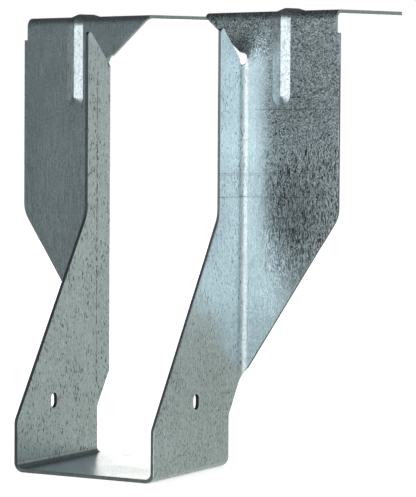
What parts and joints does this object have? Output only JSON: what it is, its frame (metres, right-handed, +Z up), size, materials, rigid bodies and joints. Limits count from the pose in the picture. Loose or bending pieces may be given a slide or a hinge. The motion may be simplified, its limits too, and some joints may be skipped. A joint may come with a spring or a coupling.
{
  "type": "beam hanger",
  "caption": "Sheet steel hanger: an open stirrup for a beam end, with face and top flanges that hook over a masonry wall.",
  "frame": {"origin": "middle of the seat's upper face, where the beam bears", "axes": "+X across the beam, +Y towards the wall (the flanges' rear faces lie on the plane y = 34 mm), +Z up"},
  "size_m": [0.1224, 0.1079, 0.1521],
  "materials": {
    "galvanised_steel": "galvanised, fine spangle, unpolished"
  },
  "bodies": {
    "root": {"hanger": "galvanised_steel"}
  },
  "joints": []
}
